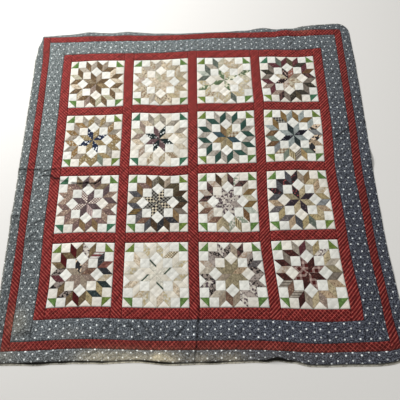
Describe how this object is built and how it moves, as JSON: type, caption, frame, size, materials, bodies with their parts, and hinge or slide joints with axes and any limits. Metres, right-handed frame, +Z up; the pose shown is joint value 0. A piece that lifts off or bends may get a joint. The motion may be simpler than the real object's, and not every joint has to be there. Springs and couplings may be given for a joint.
{
  "type": "star quilt blanket",
  "caption": "Square pieced quilt of star wheel blocks in red sashing, with dotted blue and red borders and a pale backing, laid flat to cover a bed.",
  "frame": {"origin": "on the underside of the backing, below the middle of the patchwork field", "axes": "+X across the quilt to its right side, +Y from its near edge to its far edge, +Z up from the surface it lies on"},
  "size_m": [1.858, 1.8327, 0.017],
  "materials": {
    "star_patchwork": "matte cotton patchwork, cream with scrap prints",
    "red_print": "matte printed cotton, dark red with fine dotted lines",
    "blue_dot_print": "matte printed cotton, mottled blue grey with white dots",
    "backing_muslin": "matte plain cotton"
  },
  "bodies": {
    "root": {"backing": "backing_muslin", "outer_border_left": "blue_dot_print", "outer_border_right": "blue_dot_print", "outer_border_near": "blue_dot_print", "outer_border_far": "blue_dot_print", "red_border_left": "red_print", "red_border_right": "red_print", "red_border_near": "red_print", "red_border_far": "red_print", "inner_border_left": "blue_dot_print", "inner_border_right": "blue_dot_print", "inner_border_near": "blue_dot_print", "inner_border_far": "blue_dot_print", "long_sash_1": "red_print", "long_sash_2": "red_print", "long_sash_3": "red_print", "long_sash_4": "red_print", "long_sash_5": "red_print", "short_sash_r1c1": "red_print", "short_sash_r2c1": "red_print", "short_sash_r3c1": "red_print", "short_sash_r4c1": "red_print", "short_sash_r5c1": "red_print", "short_sash_r1c2": "red_print", "short_sash_r2c2": "red_print", "short_sash_r3c2": "red_print", "short_sash_r4c2": "red_print", "short_sash_r5c2": "red_print", "short_sash_r1c3": "red_print", "short_sash_r2c3": "red_print", "short_sash_r3c3": "red_print", "short_sash_r4c3": "red_print", "short_sash_r5c3": "red_print", "short_sash_r1c4": "red_print", "short_sash_r2c4": "red_print", "short_sash_r3c4": "red_print", "short_sash_r4c4": "red_print", "short_sash_r5c4": "red_print", "star_block_r1c1": "star_patchwork", "star_block_r2c1": "star_patchwork", "star_block_r3c1": "star_patchwork", "star_block_r4c1": "star_patchwork", "star_block_r1c2": "star_patchwork", "star_block_r2c2": "star_patchwork", "star_block_r3c2": "star_patchwork", "star_block_r4c2": "star_patchwork", "star_block_r1c3": "star_patchwork", "star_block_r2c3": "star_patchwork", "star_block_r3c3": "star_patchwork", "star_block_r4c3": "star_patchwork", "star_block_r1c4": "star_patchwork", "star_block_r2c4": "star_patchwork", "star_block_r3c4": "star_patchwork", "star_block_r4c4": "star_patchwork"}
  },
  "joints": []
}
